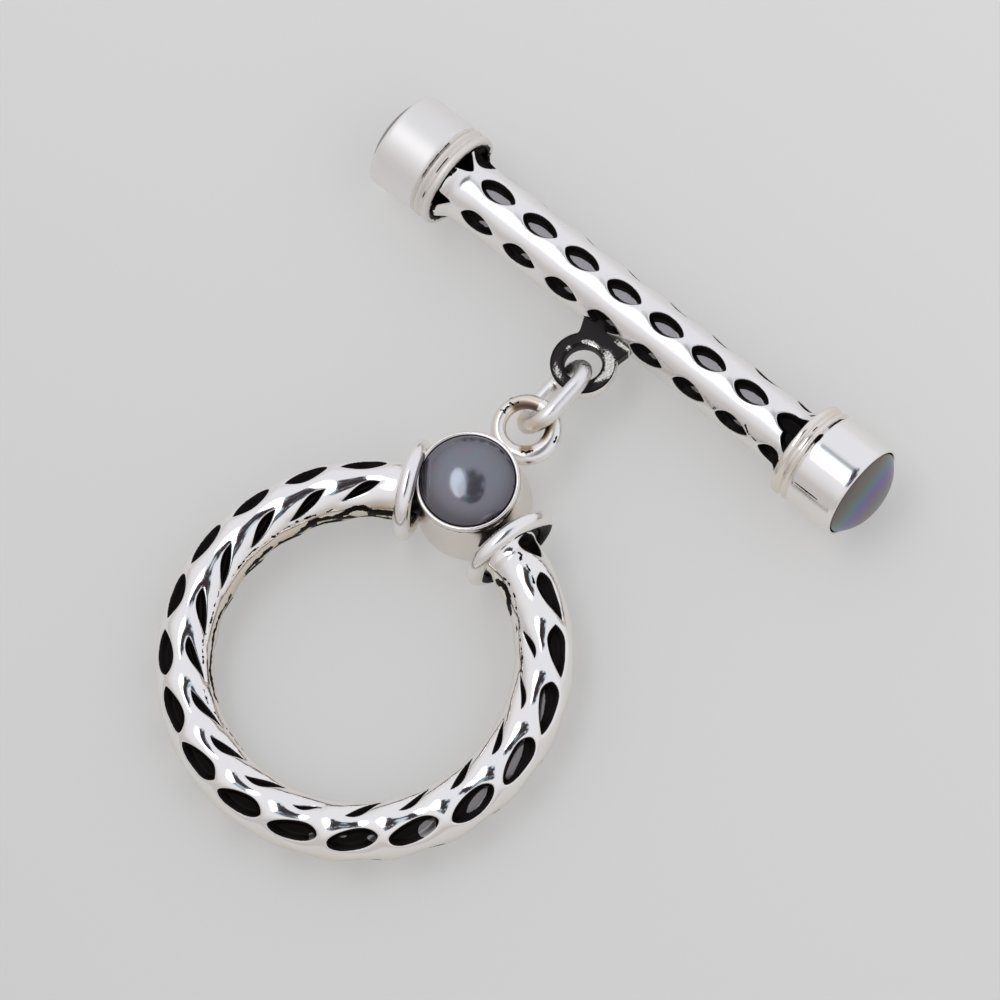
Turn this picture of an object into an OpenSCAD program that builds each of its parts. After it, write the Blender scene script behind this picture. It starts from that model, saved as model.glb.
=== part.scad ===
// A sterling silver toggle clasp lying on a flat surface. A ring of pitted tube carries a pearl
// setting and a loop. A bar of pitted tube carries a pearl cap at each end and a flat eye at its
// middle. An oval jump ring joins the loop to the eye.

/* [Ring] */
// Radius of the ring, from its middle to the middle of its tube
ring_r = 9.33; // [9:0.05:11]
// Diameter of the ring's tube
ring_tube_d = 3.14; // [2.9:0.02:3.5]
// Half of the ring's opening angle, where the setting closes it
opening_angle = 19; // [18:0.5:22]
// Pits in a full turn of the ring
pits_per_turn = 20; // [16:1:22]
// Turn of the first pit from the middle of the opening
ring_pit_start = 14.3; // [12:0.1:18]
// Turn of the first row of pits from the top of the ring's tube, outward
ring_row_start = 38; // [30:1:42]
// Lean of the ring's pits across its tube, from the row that leans most
ring_pit_lean = 22; // [0:1:25]

/* [Pits] */
// Length of a pit along its tube
pit_len = 2.3; // [1.6:0.05:2.5]
// Width of a pit round its tube
pit_wide = 1.15; // [0.8:0.05:1.2]
// Depth of a pit at its middle
pit_depth = 0.45; // [0.2:0.05:0.6]

/* [Collars] */
// Wire of the two collars that close the ring's tube
collar_wire = 0.92; // [0.7:0.02:1.1]
// Outer diameter of a collar
collar_d = 4.96; // [4.4:0.02:5.2]
// Diameter of the short neck between a collar and the cup
neck_d = 2.6; // [2:0.1:3]

/* [Setting] */
// Distance from the ring's middle to the middle of the cup
cup_reach = 10.6; // [10.2:0.05:11]
// Sideways step of the cup from the middle of the opening
cup_step = 0.45; // [0:0.05:0.6]
// Height of the cup's lip above the ring's mid plane
cup_lip_h = 1.6; // [1.2:0.05:2]
// Depth of the cup's base below the ring's mid plane
cup_base_h = 2.36; // [2:0.02:2.38]
// Diameter of the lip
cup_lip_d = 5.5; // [5.4:0.02:5.8]
// Diameter of the cup's foot
cup_foot_d = 6.1; // [5.8:0.05:6.4]

/* [Pearls] */
// Diameter of a pearl where its seat holds it
pearl_d = 4.94; // [4.6:0.02:5]
// Height of a pearl's dome above its seat's rim
pearl_dome = 1; // [0.7:0.05:1.3]
// Gap left round a pearl for its glue
pearl_gap = 0.03; // [0.02:0.01:0.06]
// Depth of the straight part of a pearl below the rim
pearl_seat = 1.2; // [0.8:0.05:1.5]

/* [Loop] */
// Wire of the loop on the cup
loop_wire = 0.78; // [0.7:0.02:0.9]
// Outer diameter of the loop
loop_d = 3.6; // [3.4:0.02:3.8]
// Depth of the loop in the cup's wall, where it is soldered on
loop_sink = 0.21; // [0.1:0.01:0.4]
// Sideways step of the loop, away from the cup's step
loop_step = 0.08; // [0:0.02:0.4]

/* [Bar] */
// Length of the bar between the rims of its caps
bar_len = 31.7; // [29:0.1:36]
// Diameter of the bar's tube
bar_tube_d = 3.56; // [3.3:0.02:3.8]
// Distance between pits along the bar
bar_pitch = 2.93; // [2.8:0.01:3.2]
// Place of a pit beside the bar's middle
bar_pit_shift = 2.3; // [1:0.05:3]
// Rows of pits round the bar's tube
bar_rows = 6; // [4:1:6]
// Turn of the first row of pits from the top of the bar, toward the ring
bar_row_start = -4; // [-20:1:20]
// Twist of the rows over the length of the bar
bar_row_twist = 12; // [0:1:30]

/* [Caps] */
// Diameter of a cap
cap_d = 5.5; // [5.2:0.02:5.8]
// Length of a cap from its rim to the end of its two ridges
cap_len = 4; // [3.6:0.1:4.6]
// Wire of each of the two ridges
ridge_wire = 0.52; // [0.4:0.02:0.6]

/* [Eye] */
// Outer diameter of the eye
eye_d = 3.56; // [3.4:0.02:3.8]
// Diameter of the eye's hole
eye_hole = 2; // [1.96:0.02:2.1]
// Thickness of the eye
eye_thick = 0.8; // [0.6:0.02:0.84]
// Rounding of the eye's corners
eye_round = 0.1; // [0.06:0.02:0.12]
// Width of the eye's foot where it is soldered to the bar
eye_foot = 3.4; // [2.6:0.1:4]
// Distance from the bar's middle line to the middle of the eye
eye_reach = 3.78; // [3.5:0.02:4]

/* [Jump ring] */
// Wire of the jump ring
link_wire = 0.9; // [0.8:0.02:0.96]
// Outer length of the jump ring
link_len = 5.1; // [5:0.05:5.3]
// Outer width of the jump ring
link_wide = 3.6; // [3.5:0.05:3.8]
// Lean of the jump ring away from upright
link_lean = 36; // [30:1:37]
// Height of the jump ring's middle above the surface
link_height = 2.74; // [2.7:0.02:2.8]

/* [Layout] */
// Distance from the middle of the loop to the middle of the eye
loop_to_eye = 4.55; // [4.45:0.05:4.65]
// Turn of the ring's own axis from the bar
ring_turn = 97.2; // [90:0.2:100]
// Sideways step of the loop from the middle of the eye
loop_side = -0.04; // [-0.2:0.02:0.2]

/* [Hidden] */
$fn = 64;

SILVER = "silver";
NACRE = "slategray";

tube_r = ring_tube_d / 2;
bar_r = bar_tube_d / 2;
cap_r = cap_d / 2;
collar_mid_r = (collar_d - collar_wire) / 2;
loop_mid_r = (loop_d - loop_wire) / 2;
ridge_mid_r = cap_r - ridge_wire / 2;
pearl_r = pearl_d / 2;
seat_r = pearl_r + pearl_gap;

// The ring leans: its collars stand on the surface beside the cup, and so does the far side
// of its tube, which is thinner.
ring_tilt = asin((collar_d / 2 - tube_r) / (ring_r * (1 + cos(opening_angle))));
ring_z = tube_r + ring_r * sin(ring_tilt);
ring_outer_r = ring_r + tube_r;

// The loop touches the cup's wall at the ring's mid plane and sinks into it.
cup_wall_r = (cup_foot_d * cup_lip_h + cup_lip_d * cup_base_h) / (cup_lip_h + cup_base_h) / 2;
loop_from_cup = cup_wall_r + loop_d / 2 - loop_sink;
loop_reach = cup_reach + sqrt(pow(loop_from_cup, 2) - pow(cup_step + loop_step, 2));

// The bar lies along X on its caps. The whole clasp is centred on the origin.
loop_run = loop_reach * cos(ring_tilt);
ring_from_bar_y = eye_reach + loop_to_eye + loop_run * sin(ring_turn) - loop_step * cos(ring_turn);
ring_x = loop_side - loop_run * cos(ring_turn) - loop_step * sin(ring_turn);
bar_y = (ring_from_bar_y + ring_outer_r - cap_r) / 2;
ring_y = bar_y - ring_from_bar_y;
bar_z = cap_r;
link_y = bar_y - eye_reach - loop_to_eye / 2;

// A pit cutter is taller than its pit, so that it clears the tube's round side.
pit_cut_h = 2 * pit_depth + 0.6;

ring_pitch = 360 / pits_per_turn;
ring_pits = floor((360 - opening_angle + ring_pitch / 4 - ring_pit_start) / ring_pitch) + 1;

// Rows of pits round the ring's tube. Columns: turn as a share of a full turn, lean and width
// as shares of the named sizes. The last row faces the ring's middle and is the slenderest.
ROW_TURN = 0;
ROW_LEAN = 1;
ROW_WIDE = 2;
ring_rows = [[0, 0.3, 1.1], [0.2, 0.6, 1], [0.4, 0.6, 1], [0.6, 0.6, 1], [0.815, 1, 0.75]];

bar_tube_half = bar_len / 2 - cap_len;
bar_reach = bar_tube_half + pit_len / 2;
bar_pits_back = floor((bar_reach + bar_pit_shift) / bar_pitch);
bar_pits_ahead = floor((bar_reach - bar_pit_shift) / bar_pitch);

module in_ring_frame() {
    translate([ring_x, ring_y, ring_z]) rotate([0, 0, ring_turn]) rotate([0, -ring_tilt, 0]) children();
}

// A pit cutter stands on its floor at z = 0, with its length along X. Its almond outline is
// where two circles cross.
module pit_cutter(wide) {
    circle_r = (pow(pit_len / 2, 2) + pow(wide / 2, 2)) / wide;
    circle_off = circle_r - wide / 2;
    linear_extrude(pit_cut_h) intersection() {
        translate([0, circle_off]) circle(circle_r);
        translate([0, -circle_off]) circle(circle_r);
    }
}

module wire_ring(mid_r, wire_d) {
    rotate_extrude() translate([mid_r, 0]) circle(wire_d / 2, $fn = 32);
}

module pearl_body() {
    dome_r = (pow(pearl_r, 2) + pow(pearl_dome, 2)) / (2 * pearl_dome);
    intersection() {
        translate([0, 0, -pearl_seat]) cylinder(h = 2 * pearl_seat + pearl_dome, r = pearl_r);
        translate([0, 0, pearl_dome - dome_r]) sphere(dome_r);
    }
}

module ring_pit(place, row) {
    rotate([0, 0, ring_pit_start + place * ring_pitch])
        translate([ring_r, 0, 0])
        rotate([0, ring_row_start + 360 * row[ROW_TURN], 0])
        translate([0, 0, tube_r - pit_depth])
        rotate([0, 0, 90 + ring_pit_lean * row[ROW_LEAN]])
        pit_cutter(pit_wide * row[ROW_WIDE]);
}

module ring_tube() {
    difference() {
        rotate([0, 0, opening_angle])
            rotate_extrude(angle = 360 - 2 * opening_angle)
            translate([ring_r, 0])
            circle(tube_r);
        for (row = ring_rows, place = [0 : ring_pits - 1]) ring_pit(place, row);
    }
}

module collar(side) {
    rotate([0, 0, side * opening_angle])
        translate([ring_r, 0, 0])
        rotate([90, 0, 0]) {
            wire_ring(collar_mid_r, collar_wire);
            cylinder(h = collar_wire / 2, r = collar_mid_r, center = true);
        }
}

// The neck runs on in the line of the ring's tube, from collar to collar through the cup.
module neck() {
    rotate([0, 0, -opening_angle])
        rotate_extrude(angle = 2 * opening_angle)
        translate([ring_r, 0])
        circle(neck_d / 2);
}

module cup_body() {
    translate([0, 0, -cup_base_h])
        cylinder(h = cup_base_h + cup_lip_h, r1 = cup_foot_d / 2, r2 = cup_lip_d / 2);
}

// A seat is cut down from a rim at z = 0, and the pearl stands in it with glue all round.
module seat_cut() {
    translate([0, 0, -pearl_seat - pearl_gap]) cylinder(h = 2 * pearl_seat, r = seat_r);
}

module toggle_ring() {
    color(SILVER) in_ring_frame() difference() {
        union() {
            ring_tube();
            neck();
            collar(1);
            collar(-1);
            translate([cup_reach, cup_step, 0]) cup_body();
            translate([loop_reach, -loop_step, 0]) wire_ring(loop_mid_r, loop_wire);
        }
        translate([cup_reach, cup_step, cup_lip_h]) seat_cut();
    }
}

module ring_pearl() {
    color(NACRE) in_ring_frame() translate([cup_reach, cup_step, cup_lip_h]) pearl_body();
}

module in_bar_frame() {
    translate([0, bar_y, bar_z]) children();
}

module bar_pit(x, row) {
    rotate([bar_row_start + row * 360 / bar_rows + bar_row_twist * x / bar_len, 0, 0])
        translate([x, 0, bar_r - pit_depth])
        pit_cutter(pit_wide);
}

module bar_tube() {
    difference() {
        rotate([0, 90, 0]) cylinder(h = 2 * (bar_tube_half + ridge_wire), r = bar_r, center = true);
        for (row = [0 : bar_rows - 1], place = [-bar_pits_back : bar_pits_ahead])
            bar_pit(bar_pit_shift + place * bar_pitch, row);
    }
}

// A cap stands with its rim at z = 0 and its two ridges at the bottom.
module cap() {
    ridges = 2 * ridge_wire;
    difference() {
        union() {
            translate([0, 0, ridges - cap_len]) cylinder(h = cap_len - ridges, r = cap_r);
            translate([0, 0, ridge_wire / 2 - cap_len]) cylinder(h = ridges, r = ridge_mid_r);
            for (ridge = [0, 1])
                translate([0, 0, ridge_wire * (ridge + 0.5) - cap_len])
                    wire_ring(ridge_mid_r, ridge_wire);
        }
        seat_cut();
    }
}

// What is at the rim of a cap: side is 1 for the near end of the bar and -1 for the far end.
module at_rim(side) {
    translate([side * bar_len / 2, 0, 0]) rotate([0, side * 90, 0]) children();
}

// The eye is a flattened ring with its corners rounded off, on a foot that widens to the bar.
module eye() {
    wall = (eye_d - eye_hole) / 2;
    corner_r = sqrt(pow(wall / 2, 2) + pow(eye_thick / 2, 2)) - eye_round;
    foot_y = eye_reach - bar_r;
    translate([0, -eye_reach, 0]) {
        rotate_extrude() translate([eye_hole / 2 + wall / 2, 0]) intersection() {
            square([wall, eye_thick], center = true);
            circle(corner_r);
        }
        translate([0, 0, -eye_thick / 2]) linear_extrude(eye_thick) difference() {
            polygon([[-eye_d / 3, wall], [eye_d / 3, wall], [eye_foot / 2, foot_y], [eye_foot / 3, eye_reach],
                [-eye_foot / 3, eye_reach], [-eye_foot / 2, foot_y]]);
            circle((eye_hole + wall) / 2);
        }
    }
}

module toggle_bar() {
    color(SILVER) in_bar_frame() {
        bar_tube();
        at_rim(1) cap();
        at_rim(-1) cap();
        eye();
    }
}

module bar_pearl_near() {
    color(NACRE) in_bar_frame() at_rim(1) pearl_body();
}

module bar_pearl_far() {
    color(NACRE) in_bar_frame() at_rim(-1) pearl_body();
}

// The oval jump ring has two half turns of wire with a straight stretch on each side.
module jump_ring() {
    end_r = (link_wide - link_wire) / 2;
    straight = link_len - link_wide;
    color(SILVER) translate([loop_side / 2, link_y, link_height]) rotate([0, link_lean - 90, 0]) {
        for (side = [-1, 1]) {
            translate([0, side * straight / 2, 0])
                rotate([0, 0, 90 * side - 90])
                rotate_extrude(angle = 180)
                translate([end_r, 0])
                circle(link_wire / 2);
            translate([side * end_r, 0, 0])
                rotate([90, 0, 0])
                cylinder(h = straight, r = link_wire / 2, center = true);
        }
    }
}

toggle_ring();
ring_pearl();
toggle_bar();
bar_pearl_near();
bar_pearl_far();
jump_ring();
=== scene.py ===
from math import cos, pi, radians, sin

import bmesh
import bpy
import numpy as np
from mathutils import Matrix


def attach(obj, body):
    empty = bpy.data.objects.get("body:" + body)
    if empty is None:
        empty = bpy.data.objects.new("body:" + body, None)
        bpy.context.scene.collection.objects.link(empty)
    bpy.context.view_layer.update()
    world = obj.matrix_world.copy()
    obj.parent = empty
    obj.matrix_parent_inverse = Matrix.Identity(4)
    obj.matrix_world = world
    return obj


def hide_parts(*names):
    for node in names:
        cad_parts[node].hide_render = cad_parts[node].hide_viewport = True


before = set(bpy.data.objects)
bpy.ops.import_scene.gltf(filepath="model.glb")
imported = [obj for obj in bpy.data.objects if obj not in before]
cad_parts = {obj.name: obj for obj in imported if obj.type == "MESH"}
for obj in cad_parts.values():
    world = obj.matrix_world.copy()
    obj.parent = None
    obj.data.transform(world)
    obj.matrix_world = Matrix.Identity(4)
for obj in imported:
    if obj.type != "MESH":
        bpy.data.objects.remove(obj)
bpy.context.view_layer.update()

# A sterling silver toggle clasp with an antiqued finish, lying on a pale surface. Sizes are in
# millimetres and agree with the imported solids; meshes are turned to metres as they are made.
MM = 0.001

# The ring lies on its tube's far side and on its collars, so it leans a little.
RING_MID = (1.76202, -7.54138, 2.03774)
RING_TURN = radians(97.2)
RING_TILT = radians(2.87362)
RING_R = 9.33
RING_TUBE_R = 1.57
OPENING = radians(19)  # half of the gap in the tube, where the cup sits

COLLAR_WIRE_R = 0.46
COLLAR_MID_R = 2.02
COLLAR_AT = radians(18.5)
NECK_R = 0.75
NECK_DROP = 0.6  # the necks lie this much below the tube's middle

CUP_REACH = 10.6  # from the ring's middle
CUP_STEP = 0.45  # and to one side of the opening's middle
CUP_LIP_H = 1.6
CUP_BASE_H = 2.36
CUP_LIP_R = 2.75
CUP_FOOT_R = 3.05

PEARL_R = 2.47
PEARL_DOME = 1.0
FAR_PEARL_DOME = 0.7
PEARL_SEAT = 1.2
SEAT_R = 2.5

LOOP_REACH = 15.03
LOOP_STEP = -0.08
LOOP_WIRE_R = 0.39
LOOP_MID_R = 1.41

BAR_MID = (0.0, 15.6914, 2.75)
BAR_R = 1.78
BAR_TUBE_HALF = 11.85
BAR_HALF = 15.85
BAR_PITCH = 2.93  # from pit to pit in a row
BAR_FIRST = 2.42  # a pit's distance from the bar's middle
BAR_TWIST = 12  # how far the rows of pits turn from rim to rim, in degrees
CAP_R = 2.75
CAP_LEN = 4.0
RIDGE_R = 0.26

EYE_R = 1.78
EYE_HOLE_R = 1.0
EYE_HALF = 0.4
EYE_REACH = 3.78

LINK_MID = (-0.02, 9.63638, 2.74)
LINK_LEAN = radians(36)
LINK_WIRE_R = 0.45
LINK_END_R = 1.35
LINK_STRAIGHT = 1.5

# The camera's place in metres and its axes.
CAMERA_EYE = (0.14656, -0.11735, 0.46872)
CAMERA_RIGHT = (0.7536, 0.6541, -0.0649)
CAMERA_UP = (-0.5907, 0.7172, 0.3697)
CAMERA_BACK = (0.2884, -0.2403, 0.9269)

# The ring's pits that show from above, cut one by one. A row gives a pit's place round the ring and
# its turn round the tube in degrees, its length and width in mm, its blunt and sharp ends, its belly,
# bow and sway, and its lean in degrees.
OUTER_PITS = (
    (14.3, 44.0, 2.40, 1.12, 0.95, 0.50, -0.10, 0.00, 0.00, -6.6),
    (33.4, 43.0, 2.40, 0.85, 0.95, 0.60, -0.10, 0.00, 0.00, -6.6),
    (50.5, 39.7, 2.35, 0.98, 0.90, 0.67, -0.01, -0.04, 0.09, -6.0),
    (68.6, 38.8, 2.38, 1.00, 1.01, 0.60, -0.06, -0.02, 0.03, -5.4),
    (86.5, 43.6, 2.58, 0.99, 0.87, 0.50, -0.24, -0.01, 0.02, -5.1),
    (104.2, 45.1, 2.54, 1.03, 0.97, 0.56, -0.04, -0.14, 0.05, -1.3),
    (121.6, 40.2, 2.53, 1.14, 0.66, 0.89, 0.17, 0.01, 0.01, -5.5),
    (139.5, 37.9, 2.62, 1.04, 0.55, 0.77, 0.09, -0.09, 0.15, -0.3),
    (157.3, 35.9, 2.71, 1.15, 0.87, 0.69, 0.36, -0.03, 0.04, -6.3),
    (175.0, 35.6, 2.66, 1.17, 0.65, 0.60, 0.25, -0.07, 0.08, -7.6),
    (192.9, 35.3, 2.68, 1.13, 0.58, 0.55, 0.22, -0.03, 0.07, -7.2),
    (211.0, 35.8, 2.68, 1.21, 0.66, 0.45, 0.18, -0.05, 0.07, -10.9),
    (229.2, 34.5, 2.75, 1.21, 0.61, 0.45, 0.15, -0.04, 0.12, -7.7),
    (248.1, 35.5, 2.75, 1.36, 0.56, 0.62, 0.05, 0.02, 0.06, -7.6),
    (266.4, 37.1, 2.79, 1.22, 0.58, 0.56, 0.34, -0.05, -0.01, -7.3),
    (284.3, 35.9, 2.83, 1.16, 0.72, 0.87, 0.49, -0.01, 0.03, -9.1),
    (302.1, 36.8, 2.83, 1.09, 1.04, 0.96, 0.42, -0.08, 0.01, -8.1),
    (319.1, 37.5, 2.85, 1.01, 0.85, 1.10, 0.51, -0.10, 0.02, -8.0),
    (336.0, 47.9, 1.54, 1.41, 1.40, 0.91, 0.59, 0.01, -0.05, -5.0),
)
INNER_PITS = (
    (34.2, -21.1, 2.29, 0.52, 1.30, 1.12, -0.27, 0.04, 0.11, -25.2),
    (53.1, -27.4, 2.54, 0.55, 1.08, 1.27, -0.21, -0.04, 0.14, -23.5),
    (70.7, -26.9, 2.38, 0.55, 1.22, 1.02, -0.09, 0.00, 0.11, -22.3),
    (88.9, -26.8, 2.47, 0.51, 1.16, 1.05, -0.06, 0.01, 0.11, -24.8),
    (107.1, -26.8, 2.56, 0.57, 1.21, 0.87, -0.18, 0.03, 0.10, -21.0),
    (124.3, -26.8, 2.50, 0.51, 1.40, 0.88, -0.32, 0.05, 0.14, -20.9),
    (142.8, -29.3, 2.52, 0.46, 1.38, 1.16, -0.19, 0.01, 0.14, -22.4),
    (159.5, -29.3, 2.22, 0.52, 1.47, 1.09, -0.07, 0.01, 0.14, -21.4),
    (177.8, -32.2, 2.24, 0.47, 1.38, 1.18, -0.01, 0.01, 0.17, -23.3),
    (195.0, -22.3, 1.47, 0.24, 1.65, 1.37, -0.19, 0.04, 0.12, -13.8),
    (214.4, -33.0, 2.09, 0.47, 1.03, 1.07, -0.07, -0.02, 0.16, -26.8),
    (232.3, -30.6, 1.97, 0.36, 1.17, 1.14, -0.06, 0.01, 0.11, -21.7),
    (251.0, -32.9, 2.14, 0.47, 0.82, 1.15, -0.07, 0.01, 0.10, -25.3),
    (269.1, -28.5, 2.05, 0.37, 1.12, 0.97, -0.24, 0.00, 0.11, -19.3),
    (287.2, -27.8, 1.96, 0.28, 1.07, 0.96, -0.25, 0.06, 0.11, -19.6),
    (304.4, -25.6, 1.70, 0.31, 0.99, 1.03, -0.06, 0.06, 0.09, -21.8),
)

# Bare silver on the floors of some pits: the pit's place, then length, width, ahead, across, lean.
BARE_PATCHES = (
    (192.9, 0.40, 0.34, 1.05, 0.20, 0),
    (211.0, 0.60, 0.42, 0.98, 0.10, 0),
    (211.0, 0.55, 0.25, -0.50, -0.28, 0),
    (229.2, 1.30, 0.85, 0.70, 0.15, -30),
    (248.1, 1.90, 0.70, 0.36, 0.12, -16),
    (266.4, 2.40, 0.64, 0.02, -0.10, -12),
    (284.3, 2.20, 0.46, 0.00, -0.24, -5),
)

# Black lines on the ring: half a line's width in mm, then its path in degrees (round the ring, round
# the tube).
RING_STROKES = (
    (0.17, ((31, -68.5), (33, -57.5), (35.5, -57), (37.8, -58), (39.5, -64.5), (42.8, -69.5),
            (45.5, -74), (48.5, -70.5), (51.2, -67.5), (53.8, -67), (55.2, -75), (57.5, -77.5),
            (59.5, -85.5), (61.3, -89.5))),
    (0.2, ((53.8, -77), (52.5, -97), (49.2, -94.5))),
    (0.17, ((31.5, -99.5), (35.2, -105), (37.5, -88), (39.2, -81), (42.5, -84.5), (44.8, -88),
            (47.5, -105))),
    (0.15, ((53.5, -103), (60, -102), (67.5, -104))),
    (0.11, ((68, -79.5), (66, -88.5), (63.8, -88.5))),
    (0.15, ((71.8, -77), (74.5, -75), (77.8, -76.5), (80.8, -74), (83.2, -75.5), (85.2, -79.5))),
    (0.17, ((74.5, -105), (76.5, -105), (79.5, -89.5), (82, -99), (84.5, -104))),
    (0.11, ((92.2, -104.5), (95.2, -103.5), (98.5, -94), (101.8, -102))),
    (0.1, ((96, -75.5), (98.3, -80), (101.2, -75), (104.2, -70), (107.5, -67.5), (110.2, -67.5),
           (113.2, -66), (116.2, -67.5), (120.2, -67.5), (123.5, -65.5), (126, -62), (128.2, -60.5),
           (130.8, -62), (134.8, -63), (138, -64), (140.2, -69.5))),
    (0.24, ((23.2, -66.5), (27.5, -70), (30.5, -68))),
    (0.17, ((23.5, -89), (27.2, -96.5), (30, -100))),
    (0.2, ((30.8, -65.5), (30.8, -86), (29.8, -105))),
    (0.03, ((91, -52.5), (85.8, -51), (79.8, -48.5), (74.2, -53.5), (68.5, -55), (64, -54), (58.8, -52.5),
            (53.8, -54), (48, -55.5), (44, -50))),
    (0.03, ((98.3, -43), (105, -48.5), (109.5, -50.5), (117.5, -40.5), (121.5, -42.5), (126, -45))),
    (0.03, ((136, -37.5), (142, -41.5), (146.5, -51), (155, -63), (163.2, -64.5))),
    (0.03, ((331, -41.5), (328.2, -36.5), (325.5, -37), (322.8, -39), (320.2, -42), (317, -44),
            (313.5, -43.5), (310.5, -44.5), (306, -47), (301, -44.5), (295.8, -38))),
    (0.2, ((332.2, -65), (330, -54), (327.2, -49.5), (324.2, -53.5), (322, -63.5), (319, -66.5))),
    (0.05, ((313.8, -53), (311, -53))),
    (0.06, ((335.5, 10.5), (334.2, 12.5), (333, 4))),
    (0.035, ((330.8, 9), (328, 10), (324.5, 9))),
)

# Black on the loop: half width in mm, then (round the loop, round its wire from the outside over the
# top) in degrees.
LOOP_STROKES = (
    (0.055, ((89, 67), (86, 90), (89, 106))),
    (0.06, ((84, 103), (79, 92), (71, 103))),
    (0.045, ((66, 80), (62, 108))),
    (0.05, ((57, 112), (50, 104))),
    (0.015, ((60, 38), (27, 30), (1, 38))),
    (0.1, ((274, 158), (290, 148), (304, 132))),
    (0.03, ((205, 98), (216, 90), (228, 96))),
    (0.04, ((272, 55), (281, 52))),
)

# Brown tarnish on the loop: half width in mm, how much, then the path as above.
LOOP_TARNISH = (
    (0.3, 0.85, ((4, 140), (30, 140), (58, 132))),
    (0.26, 1.0, ((270, 150), (292, 140), (312, 122))),
    (0.2, 0.6, ((207, 112), (224, 112))),
    (0.5, 0.12, ((0, 40), (90, 60), (180, 60))),
)

# Black on the bar's tube: half width in mm, then (mm along the bar, turn towards the ring in degrees).
BAR_STROKES = (
    (0.07, ((11.35, -36), (11.85, -33))),
    (0.2, ((-11.75, 62), (-11.9, 80), (-11.95, 102))),
    (0.03, ((-11.76, 15), (-11.74, 5.5))),
    (0.04, ((9.04, 47.5), (9.36, 57), (10.0, 60))),
    (0.035, ((6.85, 60), (7.15, 62))),
    (0.035, ((7.05, 57), (7.3, 59.5))),
)

rng = np.random.default_rng(7)


# Shapes

def frame_of(x_axis, y_axis, z_axis, mid):
    """The 4x4 matrix with these axes and this middle."""
    m = np.eye(4)
    m[:3, 0], m[:3, 1], m[:3, 2], m[:3, 3] = x_axis, y_axis, z_axis, mid
    return m


def shifted(*mid):
    """The 4x4 matrix that only moves."""
    return frame_of((1, 0, 0), (0, 1, 0), (0, 0, 1), mid)


def moved(m, points):
    """Points in a row, put where a matrix says."""
    return points.reshape(-1, 3) @ m[:3, :3].T + m[:3, 3]


ring_frame = np.array(
    Matrix.Translation(RING_MID) @ Matrix.Rotation(RING_TURN, 4, "Z") @ Matrix.Rotation(-RING_TILT, 4, "Y")
)
bar_frame = shifted(*BAR_MID)


def grid_faces(rows, around, closed=True):
    """Faces of a grid of points. Each row is a ring, and if closed the last row meets the first."""
    i, j = np.meshgrid(np.arange(rows if closed else rows - 1), np.arange(around), indexing="ij")
    i2, j2 = (i + 1) % rows, (j + 1) % around
    corners = [i * around + j, i2 * around + j, i2 * around + j2, i * around + j2]
    return np.stack(corners, -1).reshape(-1, 4)


def piece(name, points, faces, finish, slot, node, **marks):
    """A closed mesh piece from points in mm, which stands for a node of the frame. A mark is one number
    for the whole piece or one for each point, and the finish reads it."""
    mesh = bpy.data.meshes.new(name)
    mesh.from_pydata((points * MM).tolist(), [], [list(f) for f in faces])
    work = bmesh.new()
    work.from_mesh(mesh)
    bmesh.ops.recalc_face_normals(work, faces=work.faces)
    work.to_mesh(mesh)
    work.free()
    for mark, values in marks.items():
        layer = mesh.attributes.new(mark, "FLOAT", "POINT")
        layer.data.foreach_set("value", np.broadcast_to(np.ravel(values), len(points)).astype(np.float32))
    mesh.shade_smooth()
    mesh.materials.append(finish)
    made = bpy.data.objects.new(name, mesh)
    bpy.context.scene.collection.objects.link(made)
    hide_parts(node)
    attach(made, "root")


def closed_tube(points):
    """Points and faces of a tube of points (rows, round), filled at both ends."""
    rows, around = points.shape[:2]
    faces = grid_faces(rows, around, closed=False).tolist()
    faces.append(list(range(around)))
    faces.append(list(range((rows - 1) * around, rows * around)))
    return points.reshape(-1, 3), faces


def turned(profile, steps):
    """Points and faces of a closed profile of (radius, height) points turned about Z."""
    r, z = np.array(profile, float).T
    turn = np.linspace(0, 2 * pi, steps, endpoint=False)[:, None]
    points = np.stack([r * np.cos(turn), r * np.sin(turn), z + 0 * turn], -1)
    return points.reshape(-1, 3), grid_faces(steps, len(profile))


def arc(mid, radius, start, end, steps):
    """Points of an arc in a profile, from start to end in degrees."""
    t = np.radians(np.linspace(start, end, steps))
    return [(mid[0] + radius * cos(a), mid[1] + radius * sin(a)) for a in t]


def stretch(start, end, steps):
    """Points of a straight run in a profile, without its last one."""
    return [tuple(np.add(start, np.subtract(end, start) * k / steps)) for k in range(steps)]


def hump(x, middle, wide, power=2):
    """1 at the middle, falling softly to 0 over this width. A higher power has a flatter top."""
    return np.exp(-np.abs((x - middle) / wide) ** power)


def rise(x, middle, soft):
    """0 before the middle and 1 after it, with a soft change."""
    return 1 / (1 + np.exp(-(x - middle) / soft))


def leaf(length, wide, blunt, sharp, belly=0.0, bow=0.0, sway=0.0):
    """Outline of a pit (along, across). Its end at +along is shaped by blunt and the other by sharp:
    0.5 is round, 1 is pointed, and more is a long tip. belly moves its widest place, bow curves it to
    one side, and sway bends it like an S."""
    steps = 22
    s = np.cos(np.linspace(pi, 0, steps))
    ahead = np.clip((s - belly) / (1 - belly), 0, 1)
    back = np.clip((belly - s) / (1 + belly), 0, 1)
    half = wide / 2 * (1 - ahead ** 2) ** blunt * (1 - back ** 2) ** sharp
    mid = sway * (s ** 3 - s) + bow * (1 - s ** 2)
    there = np.stack([s * length / 2, mid - half], 1)
    home = np.stack([s * length / 2, mid + half], 1)[::-1][1:-1]
    return np.concatenate([there, home])


def patch(length, wide, ahead, across, lean):
    """A rounded patch on a pit's floor, by its middle and its lean in degrees against the pit."""
    lean = radians(lean)
    tilt = np.array([[cos(lean), sin(lean)], [-sin(lean), cos(lean)]])
    return leaf(length, wide, 0.85, 0.8) @ tilt + (ahead, across)


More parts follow.
